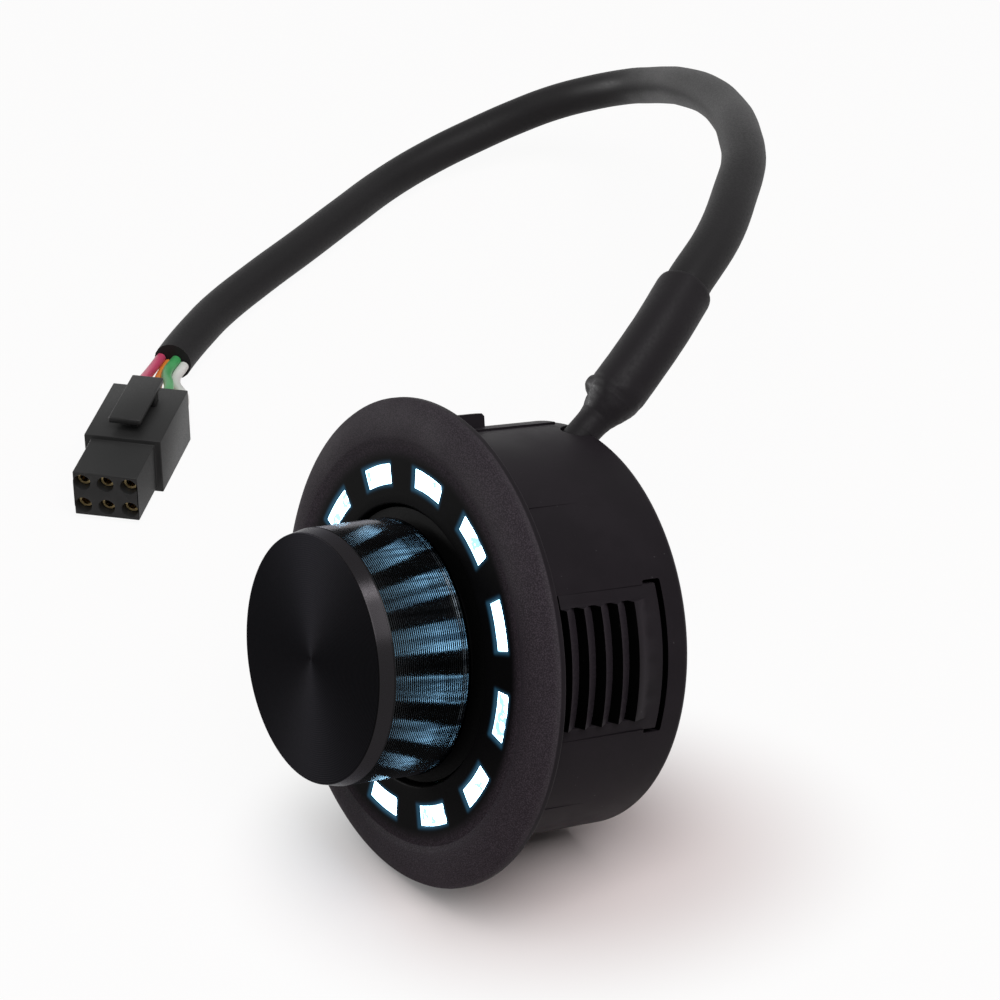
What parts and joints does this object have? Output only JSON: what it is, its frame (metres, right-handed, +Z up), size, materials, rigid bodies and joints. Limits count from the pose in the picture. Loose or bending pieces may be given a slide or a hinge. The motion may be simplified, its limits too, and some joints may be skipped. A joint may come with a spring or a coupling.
{
  "type": "panel remote controller",
  "caption": "Round flush-mount remote controller with a ring of lit windows, a push-and-turn metal knob, toothed snap clips and a short pigtail lead with a plug.",
  "frame": {"origin": "on the floor under the middle of the controller's box, its cord and plug left out", "axes": "+X to the right of a person facing the knob, +Y towards the rear, +Z up; the knob faces -Y and looks up by the rest tilt"},
  "size_m": [0.1545, 0.1196, 0.0533],
  "materials": {
    "shell_black": "fine textured",
    "face_black": "smooth matt",
    "light_pads": "lit, icy white",
    "lamp_yellow": "gloss",
    "board_green": "satin",
    "steel": "brushed",
    "chip_black": "matt",
    "socket_cream": "satin",
    "brass": "satin",
    "knob_metal": "black anodised, turned",
    "rubber_black": "matt",
    "sleeve_black": "satin",
    "cable_black": "satin",
    "core_red": "satin",
    "core_orange": "satin",
    "core_green": "satin",
    "core_white": "satin",
    "plug_black": "satin"
  },
  "bodies": {
    "controller": {"housing": "shell_black", "face_ring": "face_black", "light_guide": "light_pads", "lamps": "lamp_yellow", "main_board": "board_green", "board_screws": "steel", "control_chip": "chip_black", "board_socket": "socket_cream", "lead_plug": "socket_cream", "encoder_base": "chip_black", "encoder_frame": "steel", "encoder_bush": "brass", "encoder_pins": "brass", "detent_spring": "steel", "switch_dome": "steel", "lead_bush": "rubber_black", "lead": "rubber_black", "shrink_sleeve": "sleeve_black", "cable": "cable_black", "core_red": "core_red", "core_orange": "core_orange", "core_green": "core_green", "core_white": "core_white", "plug_housing": "plug_black", "plug_latch": "plug_black", "plug_contacts": "brass"},
    "plunger": {"push_plunger": "socket_cream"},
    "knob": {"encoder_shaft": "steel", "encoder_rotor": "socket_cream", "knob_core": "chip_black", "knob_cap": "knob_metal"},
    "right_clip": {"clip_right": "shell_black"},
    "left_clip": {"clip_left": "shell_black"}
  },
  "joints": [
    {"name": "knob_press", "type": "slide", "parent": "controller", "child": "plunger", "axis": [0, 0.9749, -0.2227], "range_m": [0, 0.0005], "stiffness_N_per_m": 6000},
    {"name": "knob_turn", "type": "hinge", "parent": "plunger", "child": "knob", "pos_m": [0, -0.00401, 0.02452], "axis": [0, -0.9749, 0.2227], "continuous": true},
    {"name": "right_clip_flex", "type": "hinge", "parent": "controller", "child": "right_clip", "pos_m": [0.0177, -0.00001, 0.0304], "axis": [-0.3502, 0.2086, 0.9132], "range_deg": [0, 5.5], "stiffness_Nm_per_rad": 1},
    {"name": "left_clip_flex", "type": "hinge", "parent": "controller", "child": "left_clip", "pos_m": [-0.0177, -0.00295, 0.01749], "axis": [0.3502, -0.2086, -0.9132], "range_deg": [0, 5.5], "stiffness_Nm_per_rad": 1}
  ]
}
